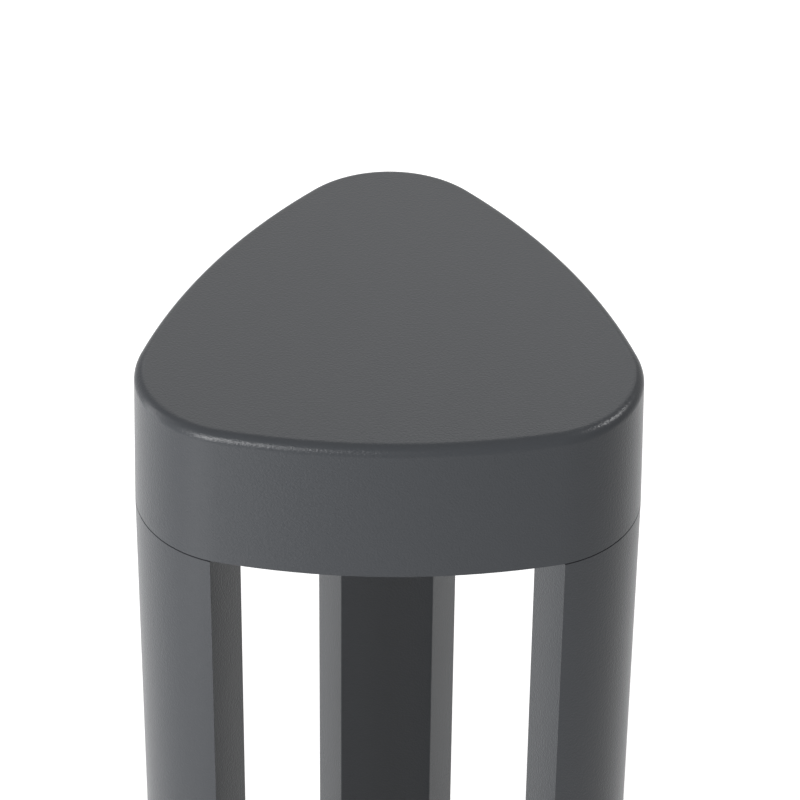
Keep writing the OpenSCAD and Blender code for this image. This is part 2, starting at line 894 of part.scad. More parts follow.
module gland_body() {
    color("#2b2c2e")
    at_gland()
    difference() {
        union() {
            translate([0, 0, -gland_thread_l]) cylinder(d = gland_d, h = gland_thread_l + 1);
            cylinder(d = gland_flats / cos(30), h = gland_hex_h, $fn = 6);
            cylinder(r = spigot_r, h = gland_hex_h + spigot_h);
        }
        translate([0, 0, -gland_thread_l - cut])
            cylinder(d = gland_way_d, h = gland_thread_l + gland_hex_h + spigot_h + 2 * cut);
        translate([0, 0, seat_z]) cylinder(r = spigot_r - spigot_wall, h = spigot_h);
    }
}

module gland_seal() {
    color(rubber)
    at_gland()
    translate([0, 0, seat_z])
    difference() {
        cylinder(r = gland_seal_r, h = nut_z + gland_nut_h - nut_lip - seat_z);
        translate([0, 0, -cut]) cylinder(d = gland_bore_d, h = gland_nut_h);
    }
}

module gland_nut() {
    dome_r = 4;
    color("#2b2c2e")
    at_gland()
    translate([0, 0, nut_z])
    difference() {
        union() {
            cylinder(d = gland_flats / cos(30), h = gland_nut_h - nut_dome_h, $fn = 6);
            translate([0, 0, gland_nut_h - nut_dome_h])
            rotate_extrude()
            polygon(concat(
                [[0, nut_dome_h], [0, -1]],
                [for (k = [0:6])
                    [gland_flats / 2 - dome_r * (1 - cos(15 * k)), nut_dome_h * sin(15 * k)]]));
        }
        translate([0, 0, -cut]) cylinder(r = spigot_r + thread_gap, h = spigot_h + cut);
        translate([0, 0, -cut])
            cylinder(r = gland_seal_r + thread_gap, h = gland_nut_h - nut_lip + cut);
        translate([0, 0, -cut]) cylinder(d = gland_way_d, h = gland_nut_h + 2 * cut);
    }
}

module cable_grommet() {
    color(rubber)
    translate([0, cable_y, rim_z])
    difference() {
        union() {
            cylinder(r = grommet_hole_r - thread_gap, h = tray_t + grommet_lip / 2);
            translate([0, 0, tray_t]) cylinder(r = grommet_hole_r + grommet_lip, h = grommet_lip);
        }
        translate([0, 0, -cut]) cylinder(d = gland_bore_d, h = tray_t + grommet_lip + 2 * cut);
    }
}

// Lead from the driver to the end of the terminal block
module supply_tail() {
    from = [-driver_l / 2 - lead_gap, driver_y + 10, dish_z + tail_z];
    to = [-terminal_l / 2 - lead_gap, terminal_y, dish_z + terminal_h / 2];
    color("#e4e4e2")
    tube(curve(from, from - [20, 0, 0], to - [16, 0, 0], to, 14), lead_d, [0, 0, 1]);
}

// Lead from the side of the driver, bent down to the back of the board
module board_tail() {
    from = [tail_at[0], driver_y + driver_w / 2 + lead_gap, dish_z + tail_z];
    to = [tail_at[0], tail_at[1], rim_z + chamber_h + lead_gap];
    color("#e4e4e2")
    tube(curve(from, from + [0, 7, 0], to + [0, 0, 9], to, 12), lead_d, [1, 0, 0]);
}

// Earth lead with a ring tag under the earth screw
module earth_tail() {
    from = [terminal_l / 2 + lead_gap, terminal_y, dish_z + terminal_h / 2];
    tag = [earth_at[0], earth_at[1], tray_z];
    to = tag + [0, -head_d / 2 - earth_d / 2, 0.6];
    color("#7f9a3a")
    union() {
        tube(curve(from, from + [16, 0, 0], to + [0, -6, 18], to, 14), earth_d, [0, 0, 1]);
        translate(tag)
        difference() {
            union() {
                cylinder(d = head_d + 1, h = tag_t);
                translate([-earth_d / 2, -head_d / 2 - 3, 0]) cube([earth_d, head_d / 2, tag_t]);
            }
            translate([0, 0, -cut]) cylinder(d = hole_d, h = 2 * cut);
        }
    }
}

head_cover();
light_tray();
head_gasket();
leg_rear();
leg_left();
leg_right();
top_seal_rear();
top_seal_left();
top_seal_right();
bottom_seal_rear();
bottom_seal_left();
bottom_seal_right();
diffuser_ring();
diffuser();
diffuser_seal();
ring_screws();
led_board();
leds();
board_screws();
led_driver();
driver_screws();
terminal_block();
terminal_screws();
earth_screw();
cover_screws();
leg_screws_top();
leg_screws_bottom();
base_casting();
mounting_plate();
base_screws();
gland_body();
gland_seal();
gland_nut();
cable_grommet();
supply_tail();
board_tail();
earth_tail();
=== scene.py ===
# %% [markdown]
# # A path light, dressed for its portrait
# The light is a cast rounded-triangle head on three aluminium legs, over a low base of the same plan.
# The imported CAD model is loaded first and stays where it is: every piece made here is put round it,
# in metres, and every finish is made of nodes.

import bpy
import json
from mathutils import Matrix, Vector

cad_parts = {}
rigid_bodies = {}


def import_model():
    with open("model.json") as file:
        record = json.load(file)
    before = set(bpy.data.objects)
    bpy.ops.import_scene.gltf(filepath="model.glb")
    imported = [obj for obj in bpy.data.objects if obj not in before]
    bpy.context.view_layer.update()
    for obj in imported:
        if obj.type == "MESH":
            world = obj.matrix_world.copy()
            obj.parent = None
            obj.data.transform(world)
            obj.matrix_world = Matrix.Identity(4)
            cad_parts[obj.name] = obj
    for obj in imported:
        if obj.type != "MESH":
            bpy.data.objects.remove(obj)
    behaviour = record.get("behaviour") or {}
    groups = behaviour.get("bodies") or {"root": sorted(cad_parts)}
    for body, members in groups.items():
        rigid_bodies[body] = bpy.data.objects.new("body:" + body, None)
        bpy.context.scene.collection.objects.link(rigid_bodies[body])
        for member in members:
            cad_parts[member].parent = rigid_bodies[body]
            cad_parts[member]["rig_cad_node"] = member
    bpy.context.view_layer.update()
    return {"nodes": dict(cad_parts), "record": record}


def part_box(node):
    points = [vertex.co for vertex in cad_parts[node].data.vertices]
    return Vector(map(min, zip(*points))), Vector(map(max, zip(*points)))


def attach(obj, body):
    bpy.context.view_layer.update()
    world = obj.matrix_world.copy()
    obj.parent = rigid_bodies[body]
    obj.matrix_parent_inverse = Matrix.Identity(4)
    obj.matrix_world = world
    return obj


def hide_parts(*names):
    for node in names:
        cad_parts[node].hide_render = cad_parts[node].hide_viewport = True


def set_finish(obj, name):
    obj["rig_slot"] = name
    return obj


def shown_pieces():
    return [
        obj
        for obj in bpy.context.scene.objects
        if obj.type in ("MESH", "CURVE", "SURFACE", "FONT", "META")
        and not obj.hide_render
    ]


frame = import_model()

# %% Modules and units
import json
import math

import bmesh
import bpy
from mathutils import Matrix, Vector

MM = 0.001
UP = Vector((0, 0, 1))

# %% [markdown]
# ## Small helpers
# A bmesh is a mesh on the workbench: operators shape it, and it becomes an object only when it is done.
# Smooth shading needs to know where it has to stop. Edges that turn by more than a set angle are
# marked sharp, so a rounded edge flows and a cut edge stays crisp. Every arc in the plan of the light
# is one vertex spun round a centre, and whatever repeats round the light is turned about its axis.

# %% Turn a finished bmesh into a piece that rides on the light
def to_piece(bm, name, slot, sharp=30):
    bmesh.ops.recalc_face_normals(bm, faces=bm.faces)
    for face in bm.faces:
        face.smooth = True
    for edge in bm.edges:
        edge.smooth = edge.is_manifold and edge.calc_face_angle() < math.radians(sharp)
    mesh = bpy.data.meshes.new(name)
    bm.to_mesh(mesh)
    bm.free()
    piece = bpy.data.objects.new(name, mesh)
    bpy.context.scene.collection.objects.link(piece)
    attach(piece, "root")
    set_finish(piece, slot)
    print(name, len(mesh.polygons), "faces")
    return piece


# %% A direction in plan, as a unit vector
def heading(degrees):
    return Vector((math.cos(math.radians(degrees)), math.sin(math.radians(degrees)), 0))


# %% Spin one vertex into an arc, and give back its last vertex
def draw_arc(bm, vert, centre, degrees, steps):
    spun = bmesh.ops.spin(
        bm, geom=[vert], cent=centre, axis=UP, angle=math.radians(degrees), steps=steps
    )
    return [v for v in spun["geom_last"] if isinstance(v, bmesh.types.BMVert)][0]


# %% Turn vertices about the axis of the light
def turn_on_axis(bm, verts, degrees):
    turn = Matrix.Rotation(math.radians(degrees), 3, "Z")
    bmesh.ops.rotate(bm, verts=verts, cent=(0, 0, 0), matrix=turn)


# %% [markdown]
# ## The plan of the castings
# Three corner arcs are joined by three slightly bowed side arcs, and each arc leaves the last one
# without a kink. Six centres therefore draw the whole outline: one vertex is spun round each in turn.
# Moving the outline in by a distance only makes each radius smaller by it.

# %% Sizes of the plan
HEAD_W = 160 * MM
CORNER_R = 36.5 * MM
SIDE_BOW = 13.7
SIDE_TURNS = (60, 180, 300)
CORNER_C = (HEAD_W / 2 - CORNER_R) / math.cos(math.radians(30))
SIDE_C = CORNER_C * (math.sin(math.radians(60)) / math.tan(math.radians(SIDE_BOW)) - 0.5)
CORNER_STEPS = 36
SIDE_STEPS = 18
SAME_POINT = 0.001 * MM
print("corner centres from the axis, mm:", round(CORNER_C / MM, 2))


# %% Draw the rounded triangle as one face
def casting_outline(bm, inset, z):
    corner_half = 60 - SIDE_BOW
    start = CORNER_C * heading(90) + (CORNER_R - inset) * heading(90 - corner_half)
    vert = bm.verts.new(start + z * UP)
    for corner in (90, 210, 330):
        vert = draw_arc(bm, vert, CORNER_C * heading(corner), 2 * corner_half, CORNER_STEPS)
        vert = draw_arc(bm, vert, -SIDE_C * heading(corner + 60), 2 * SIDE_BOW, SIDE_STEPS)
    return close_outline(bm)


# %% Join the ends of the loose outline and fill it
def close_outline(bm):
    loose = [v for v in bm.verts if not v.link_faces]
    bmesh.ops.remove_doubles(bm, verts=loose, dist=SAME_POINT)
    wires = [e for e in bm.edges if e.is_wire]
    face = bmesh.ops.contextual_create(bm, geom=wires)["faces"][0]
    face.normal_update()
    if face.normal.z < 0:
        face.normal_flip()
    return face


# %% [markdown]
# ## Climbing from ring to ring
# A drafted wall, a rounded edge and a flat top are all the same move: the face goes in by a little and
# up by a little, and a band of wall stays behind. That is one inset with a depth. A narrow extra band
# on each side of the rounding keeps its shading from running out over the flat top and the tall wall.

# %% Bands of a drafted wall that ends in a rounded edge
DRAFT = 1.3
EDGE_STEPS = 12
HOLD = 0.25 * MM


def wall_bands(height, radius):
    draft = math.radians(DRAFT)
    angles = [draft + (math.pi / 2 - draft) * k / EDGE_STEPS for k in range(EDGE_STEPS + 1)]
    straight = height - radius * (1 - math.sin(draft)) - HOLD
    bands = [(straight, straight * math.tan(draft)), (HOLD, HOLD * math.tan(draft))]
    for a, b in zip(angles, angles[1:]):
        bands.append((radius * (math.sin(b) - math.sin(a)), radius * (math.cos(a) - math.cos(b))))
    return bands + [(0, HOLD)]


# %% Climb with a face from band to band
def climb(bm, face, bands):
    for up, go_in in bands:
        bmesh.ops.inset_region(
            bm, faces=[face], thickness=go_in, depth=up, use_boundary=True, use_even_offset=True
        )


# %% [markdown]
# ## The head casting
# The real head is pressure die-cast: its walls lean so that it leaves the die, the upper edge is
# rounded, and the underside is hollow. An outer and an inner shell are climbed in the same way, so the
# inner one is turned inside out before a rim is bridged between them. The area of the rim is printed:
# a bridge that runs crosswise would close the whole opening and show there at once. Bosses for the
# three screws and ribs across the ceiling are added inside.

# %% Sizes of the head
TOTAL_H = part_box("head_cover")[1].z
RIM_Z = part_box("head_cover")[0].z
HEAD_H = TOTAL_H - RIM_Z
EDGE_R = 3.5 * MM
TOP_T = 3 * MM
WALL_T = 3.6 * MM
RIM_T = 2.2 * MM
INNER_R = 2 * MM
LEDGE_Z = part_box("head_gasket")[1].z
BOSS_R = 4.3 * MM
BOSS_SPREAD = 0.8 * MM
BOSS_AT = 59.5 * MM
BOSS_STEPS = 32
RIB_T = 2.4 * MM
RIB_H = 6 * MM
RIB_REACH = 62 * MM
print("head, mm high:", round(HEAD_H / MM, 1))


# %% Bridge two shells at the rim
def bridge_rim(bm, outer):
    inner = [f for f in bm.faces if f not in outer]
    bmesh.ops.reverse_faces(bm, faces=inner)
    open_edges = [e for e in bm.edges if e.is_boundary]
    rim = bmesh.ops.bridge_loops(bm, edges=open_edges)["faces"]
    print("rim, mm2:", round(sum(f.calc_area() for f in rim) / MM ** 2))


# %% Ribs under a ceiling
def add_ribs(bm, turns, reach, top, depth):
    for turn in turns:
        rib = bmesh.ops.create_cube(bm, size=1)["verts"]
        bmesh.ops.scale(bm, verts=rib, vec=(RIB_T, reach, depth))
        bmesh.ops.translate(bm, verts=rib, vec=(0, reach / 2, top - depth / 2))
        turn_on_axis(bm, rib, turn)


# %% Tapered bosses for the cover screws
def add_bosses(bm, low, high):
    for turn in SIDE_TURNS:
        place = Matrix.Translation(BOSS_AT * heading(90 + turn) + (low + high) / 2 * UP)
        bmesh.ops.create_cone(
            bm, cap_ends=True, segments=BOSS_STEPS, radius1=BOSS_R, radius2=BOSS_R + BOSS_SPREAD,
            depth=high - low, matrix=place,
        )


# %% Model the head
bm = bmesh.new()
climb(bm, casting_outline(bm, 0, RIM_Z), wall_bands(HEAD_H, EDGE_R))
outer = set(bm.faces)
hollow = casting_outline(bm, RIM_T, RIM_Z)
ledge = [(LEDGE_Z - RIM_Z, 0), (0, WALL_T - RIM_T)]
climb(bm, hollow, ledge + wall_bands(TOTAL_H - TOP_T - LEDGE_Z, INNER_R))
bridge_rim(bm, outer)
add_bosses(bm, LEDGE_Z, TOTAL_H - TOP_T / 2)
add_ribs(bm, range(0, 360, 60), RIB_REACH, TOTAL_H - TOP_T / 2, RIB_H + TOP_T / 2)
head_casting = to_piece(bm, "head_casting", "coat")
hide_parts("head_cover")

# %% [markdown]
# ## The legs
# Each leg is a length of aluminium extrusion: a round back that carries the corner of the head down,
# two flanks that close in, and a flat face that looks to the middle. The section is drawn once. One
# vertex is spun along the round back, two more close the wedge, and its two inner corners are
# rounded with a vertex bevel. An inset makes the wall, and the ring is drawn out to the full length.

# %% Sizes of the leg section
LEG_R = CORNER_R
LEG_DEPTH = 24.2 * MM
LEG_W_OUT = 48.4 * MM
LEG_W_IN = 32.2 * MM
LEG_WALL = 2.5 * MM
LEG_EDGE_R = 0.6 * MM
LEG_EDGE_STEPS = 5
PORT_X = 15.4 * MM
PORT_BACK = 13.1 * MM
PORT_WALL_R = 4 * MM
PORT_BORE_R = 2.05 * MM
PORT_STEPS = 32
BACK_STEPS = 40
LEG_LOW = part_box("leg_rear")[0].z
LEG_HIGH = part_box("leg_rear")[1].z
print("legs, mm long:", round((LEG_HIGH - LEG_LOW) / MM, 1))


# %% The section of the leg as one face
def leg_section(bm):
    half_out = math.asin(LEG_W_OUT / 2 / LEG_R)
    end = Vector((LEG_W_OUT / 2, CORNER_C + LEG_R * math.cos(half_out), LEG_LOW))
    inner_y = CORNER_C + LEG_R - LEG_DEPTH
    first = bm.verts.new(end)
    last = draw_arc(bm, first, CORNER_C * heading(90), math.degrees(2 * half_out), BACK_STEPS)
    left = bm.verts.new((-LEG_W_IN / 2, inner_y, LEG_LOW))
    right = bm.verts.new((LEG_W_IN / 2, inner_y, LEG_LOW))
    for pair in ((last, left), (left, right), (right, first)):
        bm.edges.new(pair)
    close_outline(bm)
    lean = math.atan2((LEG_W_OUT - LEG_W_IN) / 2, end.y - inner_y)
    bmesh.ops.bevel(
        bm, geom=[left, right], offset=LEG_EDGE_R / math.tan(math.pi / 4 + lean / 2),
        affect="VERTICES", segments=LEG_EDGE_STEPS, profile=0.5, material=-1,
    )
    return bm.faces[:][0]


# %% Draw a flat ring out into a tube
def draw_out(bm, ring, length):
    drawn = bmesh.ops.extrude_face_region(bm, geom=ring, use_keep_orig=True)["geom"]
    moved = [v for v in drawn if isinstance(v, bmesh.types.BMVert)]
    bmesh.ops.translate(bm, verts=moved, vec=length * UP)


# %% The hollow extrusion with its two screw ports
def leg_extrusion():
    bm = bmesh.new()
    core = leg_section(bm)
    ring = bmesh.ops.inset_region(
        bm, faces=[core], thickness=LEG_WALL, use_boundary=True, use_even_offset=True
    )["faces"]
    bmesh.ops.delete(bm, geom=[core], context="FACES_ONLY")
    draw_out(bm, ring, LEG_HIGH - LEG_LOW)
    for side in (-1, 1):
        place = Matrix.Translation((side * PORT_X, CORNER_C + LEG_R - PORT_BACK, LEG_LOW))
        circles = [
            bmesh.ops.create_circle(bm, segments=PORT_STEPS, radius=r, matrix=place)["verts"]
            for r in (PORT_WALL_R, PORT_BORE_R)
        ]
        rims = [e for c in circles for v in c for e in v.link_edges]
        port = bmesh.ops.bridge_loops(bm, edges=list(set(rims)))["faces"]
        draw_out(bm, port, LEG_HIGH - LEG_LOW)
    return bm


# %% Model the three legs
for name, turn in (("rear", 0), ("left", 120), ("right", 240)):
    bm = leg_extrusion()
    turn_on_axis(bm, bm.verts, turn)
    leg = to_piece(bm, "leg_extrusion_" + name, "coat", sharp=12)
    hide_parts("leg_" + name)

# %% [markdown]
# ## The base casting
# The base repeats the plan of the head, with its foot a little wider because the wall leans the same
# way. Climbing starts at the ground. Ribs and the box for the cable gland are cast inside. The sunk
# seats of the side screws are cones taken out of the wall, and a Boolean cuts them exactly.

# %% Sizes of the base
BASE_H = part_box("base_casting")[1].z
BASE_TOP_T = 4 * MM
BASE_WALL = 3 * MM
BASE_EDGE_R = 0.6 * MM
BASE_FOOT = -BASE_H * math.tan(math.radians(DRAFT))
BOX_W = 22.8 * MM
BOX_Y = (61.5 * MM, 83 * MM)
BOX_Z = (6 * MM, 34 * MM)
SEAT_R = 3.7 * MM
SEAT_DEPTH = 2 * MM
SEAT_Z = 15 * MM
SEAT_AT = -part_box("base_screws")[0].y
SEAT_STEPS = 48
print("base, mm high:", round(BASE_H / MM, 1))


# %% Take one solid away from another
def cut_away(bm, cutter):
    objects = []
    for solid in (bm, cutter):
        bmesh.ops.recalc_face_normals(solid, faces=solid.faces)
        mesh = bpy.data.meshes.new("boolean")
        solid.to_mesh(mesh)
        solid.free()
        objects.append(bpy.data.objects.new("boolean", mesh))
        bpy.context.scene.collection.objects.link(objects[-1])
    body, tool = objects
    difference = body.modifiers.new("cut", "BOOLEAN")
    difference.object = tool
    difference.solver = "EXACT"
    result = bmesh.new()
    result.from_object(body, bpy.context.evaluated_depsgraph_get())
    for made in objects:
        bpy.data.meshes.remove(made.data)
    return result


# %% Cones for the screw seats in the middle of each side
def screw_seats():
    cutter = bmesh.new()
    for turn in SIDE_TURNS:
        out = heading(90 + turn)
        place = out.to_track_quat("Z", "Y").to_matrix().to_4x4()
        place.translation = SEAT_AT * out + SEAT_Z * UP
        bmesh.ops.create_cone(
            cutter, cap_ends=True, segments=SEAT_STEPS, radius1=SEAT_R - SEAT_DEPTH,
            radius2=SEAT_R + SEAT_DEPTH, depth=2 * SEAT_DEPTH, matrix=place,
        )
    return cutter


# %% Model the base
bm = bmesh.new()
climb(bm, casting_outline(bm, BASE_FOOT, 0), wall_bands(BASE_H, BASE_EDGE_R))
outer = set(bm.faces)
climb(bm, casting_outline(bm, BASE_FOOT + BASE_WALL, 0), wall_bands(BASE_H - BASE_TOP_T, INNER_R))
bridge_rim(bm, outer)
bm = cut_away(bm, screw_seats())
add_ribs(bm, SIDE_TURNS, BOSS_AT + RIB_H, BASE_H - BASE_TOP_T / 2, RIB_H + BASE_TOP_T / 2)
box = bmesh.ops.create_cube(bm, size=1)["verts"]
bmesh.ops.scale(bm, verts=box, vec=(BOX_W, BOX_Y[1] - BOX_Y[0], BOX_Z[1] - BOX_Z[0]))
bmesh.ops.translate(bm, verts=box, vec=(0, sum(BOX_Y) / 2, sum(BOX_Z) / 2))
base = to_piece(bm, "base_shell", "coat")
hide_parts("base_casting")

# %% [markdown]
# ## Pieces that the CAD already shapes well
# Flat plates, screws and the gland need no new shape, only smooth shading on their round faces. The
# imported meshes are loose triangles, so a copy is merged first; then sharp edges can be found again.

# %% Merge a copy of a CAD node and let it stand for the node
SAME_CAD_POINT = 0.002 * MM


def merged_copy(node, slot, sharp=25):
    bm = bmesh.new()
    bm.from_mesh(frame["nodes"][node].data)
    bmesh.ops.remove_doubles(bm, verts=bm.verts, dist=SAME_CAD_POINT)
    piece = to_piece(bm, node + "_merged", slot, sharp)
    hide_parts(node)


# %% The nodes that are merged, by the slot of their finish
MERGED = {
    "coat": ("light_tray", "diffuser_ring"),
    "fastener": ("cover_screws", "ring_screws", "base_screws", "leg_screws_bottom"),
    "plate": ("mounting_plate",),
    "black_plastic": ("gland_body", "gland_nut"),
}
for slot, nodes in MERGED.items():
    for node in nodes:
        merged_copy(node, slot)

# %% [markdown]
# ## The opal diffuser
# The cover of the light source is moulded in opal polycarbonate: a flat flange and a shallow dome of
# even wall. Half of its section is drawn as a chain of points and spun once round the axis.

# %% Spin the diffuser
FLANGE_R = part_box("diffuser")[1].x
DIFFUSER_T = 2 * MM
BOARD_CLEAR = 3.5 * MM
DOME_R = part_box("led_board")[1].x + BOARD_CLEAR
DOME_H = 6 * MM
DOME_STEPS = 16
ROUND_STEPS = 96

bm = bmesh.new()
ball_r = (DOME_R ** 2 + DOME_H ** 2) / (2 * DOME_H)
chain = []
for thick, steps in ((0, range(DOME_STEPS + 1)), (DIFFUSER_T, range(DOME_STEPS, -1, -1))):
    for k in steps:
        r = (DOME_R - thick) * k / DOME_STEPS
        drop = DOME_H - ball_r + math.sqrt(ball_r ** 2 - r ** 2)
        chain.append((r, 0, RIM_Z + thick - drop))
    if thick == 0:
        chain += [(FLANGE_R, 0, RIM_Z), (FLANGE_R, 0, RIM_Z + DIFFUSER_T)]
verts = [bm.verts.new(point) for point in chain]
edges = [bm.edges.new(pair) for pair in zip(verts, verts[1:])]
bmesh.ops.spin(
    bm, geom=verts + edges, cent=(0, 0, 0), axis=UP, angle=2 * math.pi, steps=ROUND_STEPS, use_merge=True
)
bmesh.ops.remove_doubles(bm, verts=bm.verts, dist=SAME_POINT)
opal_cover = to_piece(bm, "opal_cover", "opal")
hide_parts("diffuser")

# %% [markdown]
# ## Materials
# A finish starts from what the real one is and how it was made. Colours are written as sRGB hex, as a
# paint chart gives them, and one function turns them to the linear values that the shader adds up.

# %% Colour and node helpers
def linear(hex_colour):
    parts = [int(hex_colour[i : i + 2], 16) / 255 for i in (1, 3, 5)]
    return [p / 12.92 if p < 0.04045 else ((p + 0.055) / 1.055) ** 2.4 for p in parts] + [1]


def add_node(tree, kind, settings=None, values=None, links=None):
    made = tree.nodes.new("ShaderNode" + kind)
    for name, value in (settings or {}).items():
        setattr(made, name, value)
    for socket, value in (values or {}).items():
        made.inputs[socket].default_value = value
    for socket, source in (links or {}).items():
        tree.links.new(source, made.inputs[socket])
    return made


def new_finish(name, hex_colour, **values):
    finish = bpy.data.materials.new(name)
    finish.use_nodes = True
    shader = finish.node_tree.nodes["Principled BSDF"]
    shader.inputs["Base Color"].default_value = linear(hex_colour)
    for socket, value in values.items():
        shader.inputs[socket.replace("_", " ")].default_value = value
    print("finish:", name)
    return finish, finish.node_tree, shader


# %% [markdown]
# ### Satin powder coat
# Polyester powder is baked on at 200 degrees and flows into a skin of about 0.08 mm. It keeps a faint
# sandy grain and a longer, softer orange peel. Grain and peel are two noises, sized in millimetres,
# and the bump of the grain lies on the bump of the peel. The grain also makes the gloss a little
# uneven. It is drawn somewhat coarser than the real one, so that it shows from the camera. Polyester
# has an IOR near 1.5. Here it is lower, because the white room makes every gloss stronger.

# %% Anthracite coat
COAT_GRAIN = 0.7 * MM
COAT_PEEL = 6 * MM

coat, tree, shader = new_finish("satin polyester powder coat", "#333538", Roughness=0.3, IOR=1.27)
place = add_node(tree, "TexCoord").outputs["Object"]
grain = add_node(tree, "TexNoise", values={"Scale": 1 / COAT_GRAIN, "Detail": 2}, links={"Vector": place})
peel = add_node(tree, "TexNoise", values={"Scale": 1 / COAT_PEEL, "Detail": 1}, links={"Vector": place})
rough = add_node(
    tree, "MapRange", values={"To Min": 0.27, "To Max": 0.33}, links={"Value": grain.outputs["Fac"]}
)
soft = add_node(
    tree, "Bump", values={"Strength": 0.1, "Distance": 0.1 * MM}, links={"Height": peel.outputs["Fac"]}
)
sandy = add_node(
    tree, "Bump", values={"Strength": 0.9, "Distance": 0.12 * MM},
    links={"Height": grain.outputs["Fac"], "Normal": soft.outputs["Normal"]},
)
tree.links.new(rough.outputs["Result"], shader.inputs["Roughness"])
tree.links.new(sandy.outputs["Normal"], shader.inputs["Normal"])

# %% [markdown]
# ### Rubber, plastics and solder resist
# Moulded rubber and plastics are dielectrics: their colour sits under a clear surface with an IOR near
# 1.5, and the mould leaves a fine, even texture. One helper adds that texture at a given size. Only the
# rubber has a lower IOR, so that the thin seam under the head stays dark beside the white room.

# %% Moulded finishes
MOULD_DEPTH = 0.05 * MM


def moulded(name, hex_colour, grain_size, strength, **values):
    finish, tree, shader = new_finish(name, hex_colour, **values)
    place = add_node(tree, "TexCoord").outputs["Object"]
    noise = add_node(
        tree, "TexNoise", values={"Scale": 1 / grain_size, "Detail": 2}, links={"Vector": place}
    )
    bump = add_node(
        tree, "Bump", values={"Strength": strength, "Distance": MOULD_DEPTH},
        links={"Height": noise.outputs["Fac"]},
    )
    tree.links.new(bump.outputs["Normal"], shader.inputs["Normal"])
    return finish


rubber = moulded("black EPDM rubber", "#17171a", 0.5 * MM, 0.3, Roughness=0.8, IOR=1.2)
opal = moulded(
    "opal polycarbonate", "#f1eee6", 1.2 * MM, 0.06, Roughness=0.38, IOR=1.58,
    Subsurface_Weight=0.35, Subsurface_Scale=4 * MM,
)
mask = moulded("white solder resist", "#ececea", 0.6 * MM, 0.05, Roughness=0.35, IOR=1.5)
phosphor = moulded("phosphor in silicone", "#e8d36a", 0.4 * MM, 0.1, Roughness=0.5, IOR=1.41)
white = moulded("white moulded polycarbonate", "#e4e4e0", 0.8 * MM, 0.12, Roughness=0.5, IOR=1.58)
black = moulded("black moulded polyamide", "#242527", 0.7 * MM, 0.2, Roughness=0.5, IOR=1.53)
lead = moulded("silicone rubber lead", "#dededa", 1 * MM, 0.08, Roughness=0.55, IOR=1.43)

# %% [markdown]
# ### Green and yellow lead
# The insulation of an earth lead is extruded in two colours. The bands of a wave texture stand for its
# spiral stripes.

# %% Earth lead
STRIPE_PITCH = 9 * MM

earth, tree, shader = new_finish("two-colour PVC insulation", "#d8c62c", Roughness=0.45, IOR=1.53)
place = add_node(tree, "TexCoord").outputs["Object"]
stripes = add_node(tree, "TexWave", values={"Scale": 1 / STRIPE_PITCH}, links={"Vector": place})
colours = add_node(tree, "ValToRGB", links={"Fac": stripes.outputs["Fac"]})
colours.color_ramp.interpolation = "CONSTANT"
colours.color_ramp.elements[0].color = linear("#d8c62c")
colours.color_ramp.elements[1].color = linear("#2f7a3a")
colours.color_ramp.elements[1].position = 0.5
tree.links.new(colours.outputs["Color"], shader.inputs["Base Color"])

# %% [markdown]
# ### Bare metals
# Stainless screws are turned, so a fine noise breaks up their gloss. Hot-dip zinc freezes in crystals
# several millimetres across, each a little lighter or darker than the next: a Voronoi cell pattern.

# %% Stainless steel
TURNING_MARK = 0.3 * MM

steel, tree, shader = new_finish("turned stainless steel", "#bfc0c1", Metallic=1)
place = add_node(tree, "TexCoord").outputs["Object"]
marks = add_node(tree, "TexNoise", values={"Scale": 1 / TURNING_MARK, "Detail": 3}, links={"Vector": place})
rough = add_node(
    tree, "MapRange", values={"To Min": 0.22, "To Max": 0.42}, links={"Value": marks.outputs["Fac"]}
)
tree.links.new(rough.outputs["Result"], shader.inputs["Roughness"])

# %% Zinc
CRYSTAL = 7 * MM

zinc, tree, shader = new_finish("hot-dip galvanised steel", "#a4a9ad", Metallic=1)
place = add_node(tree, "TexCoord").outputs["Object"]
spangle = add_node(tree, "TexVoronoi", values={"Scale": 1 / CRYSTAL}, links={"Vector": place})
tone = add_node(tree, "ValToRGB", links={"Fac": spangle.outputs["Color"]})
tone.color_ramp.elements[0].color = linear("#8d9296")
tone.color_ramp.elements[1].color = linear("#b9bdc0")
rough = add_node(
    tree, "MapRange", values={"To Min": 0.35, "To Max": 0.55}, links={"Value": spangle.outputs["Color"]}
)
tree.links.new(tone.outputs["Color"], shader.inputs["Base Color"])
tree.links.new(rough.outputs["Result"], shader.inputs["Roughness"])

# %% The record's slots and their finishes
FINISHES = {
    "coat": coat, "plate": zinc, "fastener": steel, "seal": rubber, "opal": opal, "board": mask,
    "phosphor": phosphor, "white_plastic": white, "black_plastic": black, "lead": lead,
    "earth_lead": earth,
}

# %% Give every piece its finish
slots = {row["node"]: row["material_slot"] for row in frame["record"]["subparts"]}
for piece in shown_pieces():
    slot = piece.get("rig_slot") or slots[piece["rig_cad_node"]]
    piece.data.materials.clear()
    piece.data.materials.append(FINISHES[slot])

# %% [markdown]
# ## The camera
# The photograph was taken from above with a long lens, which keeps the legs nearly parallel. The
# camera's place and turn are written as a target close to the axis, a distance, and three angles.

# %% Camera
LENS = 179.7
TARGET = Vector((3.53, 0, 568.613)) * MM
DISTANCE = 1273.1 * MM
DOWN, YAW, ROLL = (math.radians(a) for a in (37.432, 0.249, 0.636))

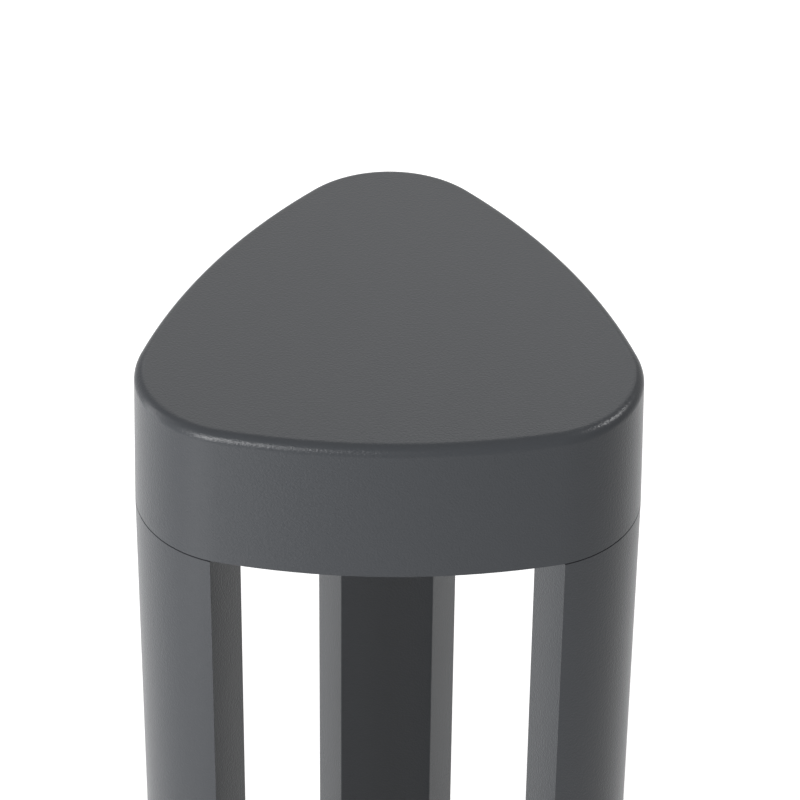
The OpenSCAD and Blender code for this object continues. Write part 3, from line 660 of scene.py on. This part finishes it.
forward = Vector((math.sin(YAW) * math.cos(DOWN), math.cos(YAW) * math.cos(DOWN), -math.sin(DOWN)))
level = forward.cross(UP).normalized()
upward = level.cross(forward)
right = math.cos(ROLL) * level + math.sin(ROLL) * upward
above = -math.sin(ROLL) * level + math.cos(ROLL) * upward
camera = bpy.data.objects.new("camera", bpy.data.cameras.new("camera"))
bpy.context.scene.collection.objects.link(camera)
bpy.context.scene.camera = camera
camera.data.lens = LENS
camera.data.clip_start = 0.05
turn = Matrix((right, above, -forward)).transposed().to_4x4()
camera.matrix_world = Matrix.Translation(TARGET - DISTANCE * forward) @ turn
print("camera at, mm:", [round(1000 * c) for c in camera.location])

# %% [markdown]
# ## The floor and the background
# The studio is white all round. If all that white also lit the light, its dark coat would wash out, so
# the room's look and the room's light are set apart. Light Path tells which kind of ray asks: camera
# rays and the rays that gloss and glass send on meet white, and the rays that carry soft light between
# surfaces meet a dimmer room. The floor adds some of the same white to a matt paint. It adds little
# where the object stands, so that its shadow shows, and more outwards, where the lamps' light fades.

# %% Floor and room
ROOM_LIGHT = 0.05
FLOOR_HALF = 4
# metres from the middle: strength of the added white
FLOOR_GLOW = {0.25: 0.15, 0.8: 0.6, 3: 1}


def seen_rays(tree):
    path = add_node(tree, "LightPath")
    seen = path.outputs["Is Camera Ray"]
    for ray in ("Is Glossy Ray", "Is Transmission Ray"):
        seen = add_node(
            tree, "Math", {"operation": "ADD", "use_clamp": True}, links={0: seen, 1: path.outputs[ray]}
        ).outputs["Value"]
    return seen


world = bpy.data.worlds.new("studio")
bpy.context.scene.world = world
world.use_nodes = True
strength = add_node(
    world.node_tree, "MapRange", values={"To Min": ROOM_LIGHT}, links={"Value": seen_rays(world.node_tree)}
)
background = world.node_tree.nodes["Background"]
background.inputs["Color"].default_value = linear("#ffffff")
world.node_tree.links.new(strength.outputs["Result"], background.inputs["Strength"])

pale, tree, shader = new_finish("matt white floor", "#e8e8e8", Roughness=0.9)
place = add_node(tree, "TexCoord").outputs["Object"]
away = add_node(tree, "VectorMath", {"operation": "LENGTH"}, links={0: place}).outputs["Value"]
share = add_node(tree, "Math", {"operation": "DIVIDE"}, values={1: FLOOR_HALF}, links={0: away})
ramp = add_node(tree, "ValToRGB", links={"Fac": share.outputs["Value"]})
ramp.color_ramp.elements.new(0.5)
for stop, (metres, level) in zip(ramp.color_ramp.elements, FLOOR_GLOW.items()):
    stop.position = metres / FLOOR_HALF
    stop.color = (level, level, level, 1)
glow = add_node(
    tree, "Math", {"operation": "MULTIPLY"}, links={0: seen_rays(tree), 1: ramp.outputs["Color"]}
)
tree.links.new(glow.outputs["Value"], shader.inputs["Emission Strength"])
shader.inputs["Emission Color"].default_value = linear("#ffffff")
bm = bmesh.new()
bmesh.ops.create_grid(bm, x_segments=1, y_segments=1, size=FLOOR_HALF)
mesh = bpy.data.meshes.new("floor")
bm.to_mesh(mesh)
bm.free()
mesh.materials.append(pale)
floor = bpy.data.objects.new("floor", mesh)
bpy.context.scene.collection.objects.link(floor)
print("floor:", 2 * FLOOR_HALF, "m square")

# %% [markdown]
# ## The lamps
# Softboxes stand round the light. Each is placed by the side it stands on, counted in degrees from the
# front towards the right, by its angle above the head, and by its distance in metres. Its energy is
# worked out from its area, so that the strength in the table is how bright its face looks. The panels
# at the front left give the rounded edge its gleam, the strip lights the left wall, the small panel
# the right side, and the rear panel lays a soft sheen on the flat top.

# %% Softboxes
HEAD_MIDDLE = Vector((0, 0, 0.57))
# side, above, away, width, height, strength
SOFTBOXES = {
    "panel, front left": (336, 23, 1.5, 0.4, 0.6, 12),
    "panel, left of it": (321, 13, 1.5, 0.4, 0.8, 27),
    "low panel, front left": (318, -30, 0.7, 0.4, 0.25, 1.6),
    "strip, left": (262, 5, 1.5, 0.25, 1.6, 9.5),
    "small panel, right": (98, 41, 1.5, 0.4, 0.32, 33),
    "panel, rear": (180, 37, 1.8, 1.6, 0.9, 2.05),
}


def softbox(name, side, above, away, width, height, strength):
    side, above = math.radians(side), math.radians(above)
    out = Vector((math.sin(side) * math.cos(above), -math.cos(side) * math.cos(above), math.sin(above)))
    lamp = bpy.data.lights.new(name, "AREA")
    lamp.shape = "RECTANGLE"
    lamp.size, lamp.size_y = width, height
    lamp.energy = math.pi * width * height * strength
    print(name + ":", round(lamp.energy, 1), "W")
    stand = bpy.data.objects.new(name, lamp)
    bpy.context.scene.collection.objects.link(stand)
    across = UP.cross(out).normalized()
    axes = Matrix((across, out.cross(across), out)).transposed().to_4x4()
    stand.matrix_world = Matrix.Translation(HEAD_MIDDLE + away * out) @ axes


for name, numbers in SOFTBOXES.items():
    softbox(name, *numbers)
bpy.context.scene.view_settings.view_transform = "Standard"
